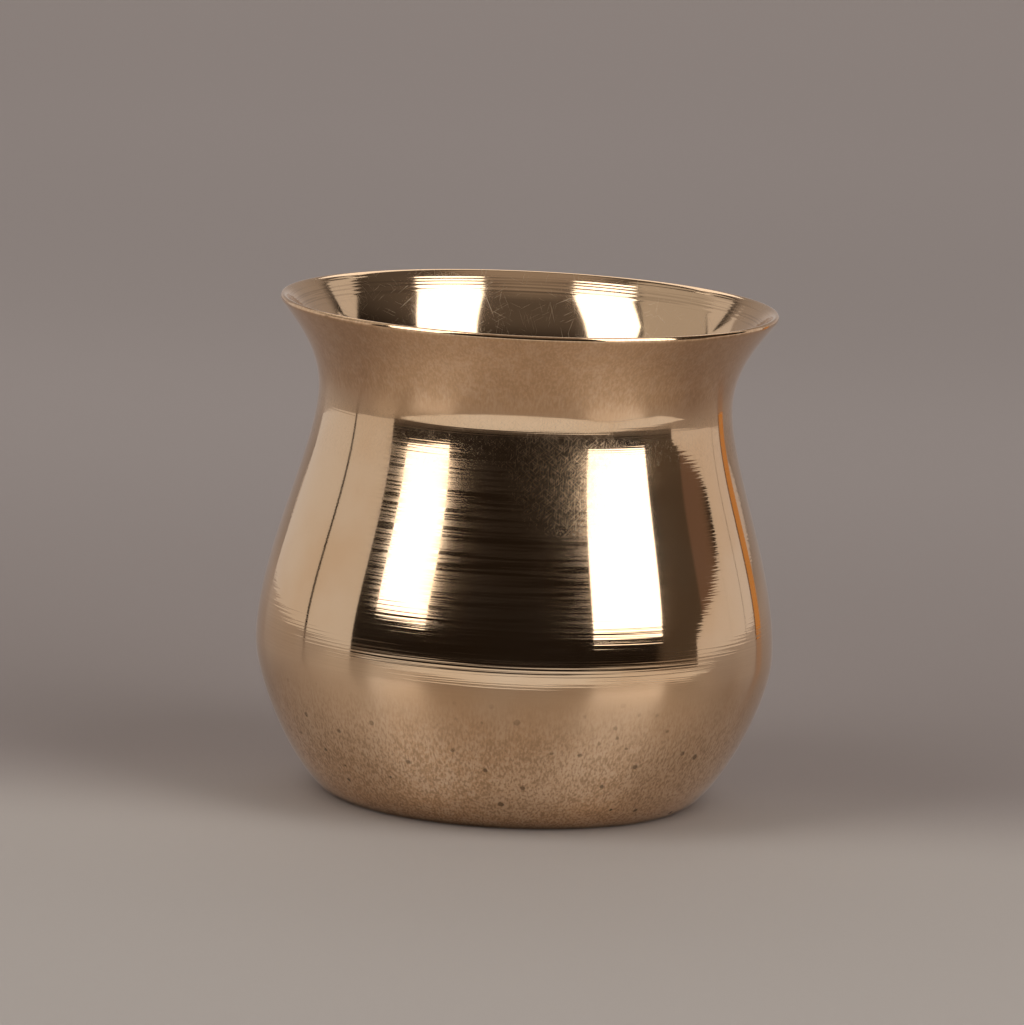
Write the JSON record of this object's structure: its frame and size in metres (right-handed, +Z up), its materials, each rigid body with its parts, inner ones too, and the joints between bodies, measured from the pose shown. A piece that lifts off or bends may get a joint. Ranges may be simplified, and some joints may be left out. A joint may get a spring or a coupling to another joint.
{
  "type": "water pot",
  "caption": "Round-bellied polished bronze kalash with a drawn-in neck, a flared open mouth and a flat foot, for holding water.",
  "frame": {"origin": "centre of the foot, on the surface that the pot stands on", "axes": "+Z up along the pot's turning axis; the pot is round, so +X and +Y are free"},
  "size_m": [0.0832, 0.0832, 0.08],
  "materials": {
    "polished_bronze": "polished, with fine turning lines"
  },
  "bodies": {
    "root": {"lower_bowl": "polished_bronze", "shoulder": "polished_bronze", "flared_mouth": "polished_bronze"}
  },
  "joints": []
}
